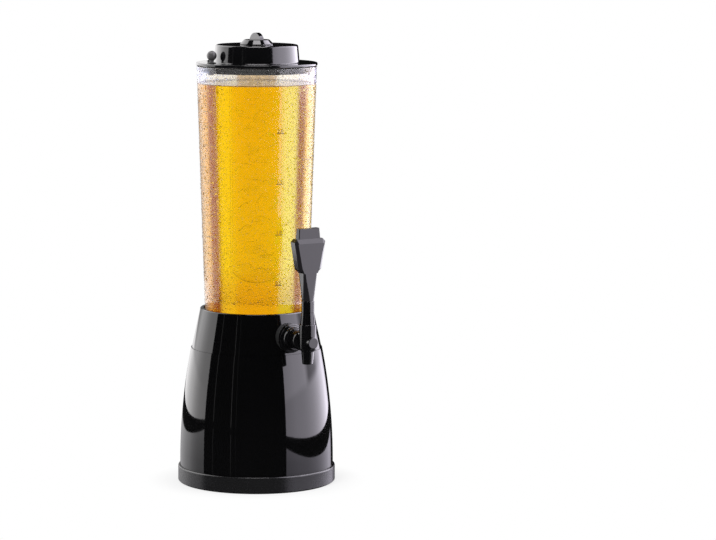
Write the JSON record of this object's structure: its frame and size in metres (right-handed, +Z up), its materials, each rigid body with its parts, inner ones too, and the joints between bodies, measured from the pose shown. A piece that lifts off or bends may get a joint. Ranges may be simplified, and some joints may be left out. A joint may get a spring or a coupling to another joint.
{
  "type": "beer tower dispenser",
  "caption": "Table-top beer tower: a clear tapered tank on a flared black stand, with an ice tube in its lid and a lever tap.",
  "frame": {"origin": "centre of the ring that the stand rests on, in the plane of the table", "axes": "+Z up along the tank's axis, -Y out along the tap, +X to the right of someone who faces the tap from behind the tower"},
  "size_m": [0.1646, 0.1944, 0.4695],
  "materials": {
    "housing_gloss": "polished black moulded ABS",
    "tray_satin": "satin black moulded ABS",
    "grip_rubber": "matt moulded rubber",
    "clear_plastic": "clear polished styrene, beaded with condensation outside",
    "frosted_plastic": "clear moulded plastic",
    "lid_gloss": "polished black moulded ABS",
    "seal_rubber": "smooth food-grade rubber",
    "vent_plastic": "polished black moulded plastic",
    "tap_gloss": "polished black moulded acetal",
    "lever_satin": "polished black moulded plastic with a fine satin face",
    "valve_white": "natural white acetal",
    "screw_steel": "stainless steel"
  },
  "bodies": {
    "tower": {"base_tray": "tray_satin", "grip_ring": "grip_rubber", "lower_housing": "housing_gloss", "upper_collar": "housing_gloss", "tank": "clear_plastic", "tank_pad": "grip_rubber", "mouth_gasket": "grip_rubber", "tray_screws": "screw_steel", "collar_screws": "screw_steel", "tap_shank": "tap_gloss", "shank_nut": "tap_gloss", "inner_washer": "grip_rubber", "wall_spacer": "tap_gloss", "saddle_washer": "grip_rubber", "tap_flange": "tap_gloss", "tap_body": "tap_gloss", "front_plug": "tap_gloss", "bonnet": "tap_gloss", "ball_washer": "valve_white"},
    "lever": {"lever_stem": "screw_steel", "lever_collar": "tap_gloss", "lever_handle": "lever_satin"},
    "valve": {"valve_shaft": "valve_white", "valve_seal": "seal_rubber", "seal_cap": "valve_white"},
    "lid": {"lid": "lid_gloss", "lid_seal": "seal_rubber", "ice_tube": "frosted_plastic", "ice_seal": "seal_rubber", "vent_grommet": "seal_rubber"},
    "cap": {"fill_cap": "lid_gloss", "cap_seal": "seal_rubber", "knob_screw": "screw_steel"},
    "knob": {"cap_knob": "lid_gloss"},
    "vent": {"vent_plug": "vent_plastic"}
  },
  "joints": [
    {"name": "lever_tilt", "type": "hinge", "parent": "tower", "child": "lever", "pos_m": [0, -0.101, 0.18], "axis": [1, 0, 0], "range_deg": [0, 16]},
    {"name": "valve_slide", "type": "slide", "parent": "tower", "child": "valve", "axis": [0, 1, 0], "range_m": [0, 0.006]},
    {"name": "lid_lift", "type": "slide", "parent": "tower", "child": "lid", "axis": [0, 0, 1], "range_m": [0, 0.25]},
    {"name": "cap_lift", "type": "slide", "parent": "lid", "child": "cap", "axis": [0, 0, 1], "range_m": [0, 0.04]},
    {"name": "knob_turn", "type": "hinge", "parent": "cap", "child": "knob", "pos_m": [0, 0, 0.461], "axis": [0, 0, 1], "range_deg": [0, 90]},
    {"name": "vent_lift", "type": "slide", "parent": "lid", "child": "vent", "axis": [0, 0, 1], "range_m": [0, 0.008]}
  ],
  "couplings": [
    {"joint": "valve_slide", "follows": "lever_tilt", "m_per_rad": 0.02073}
  ]
}
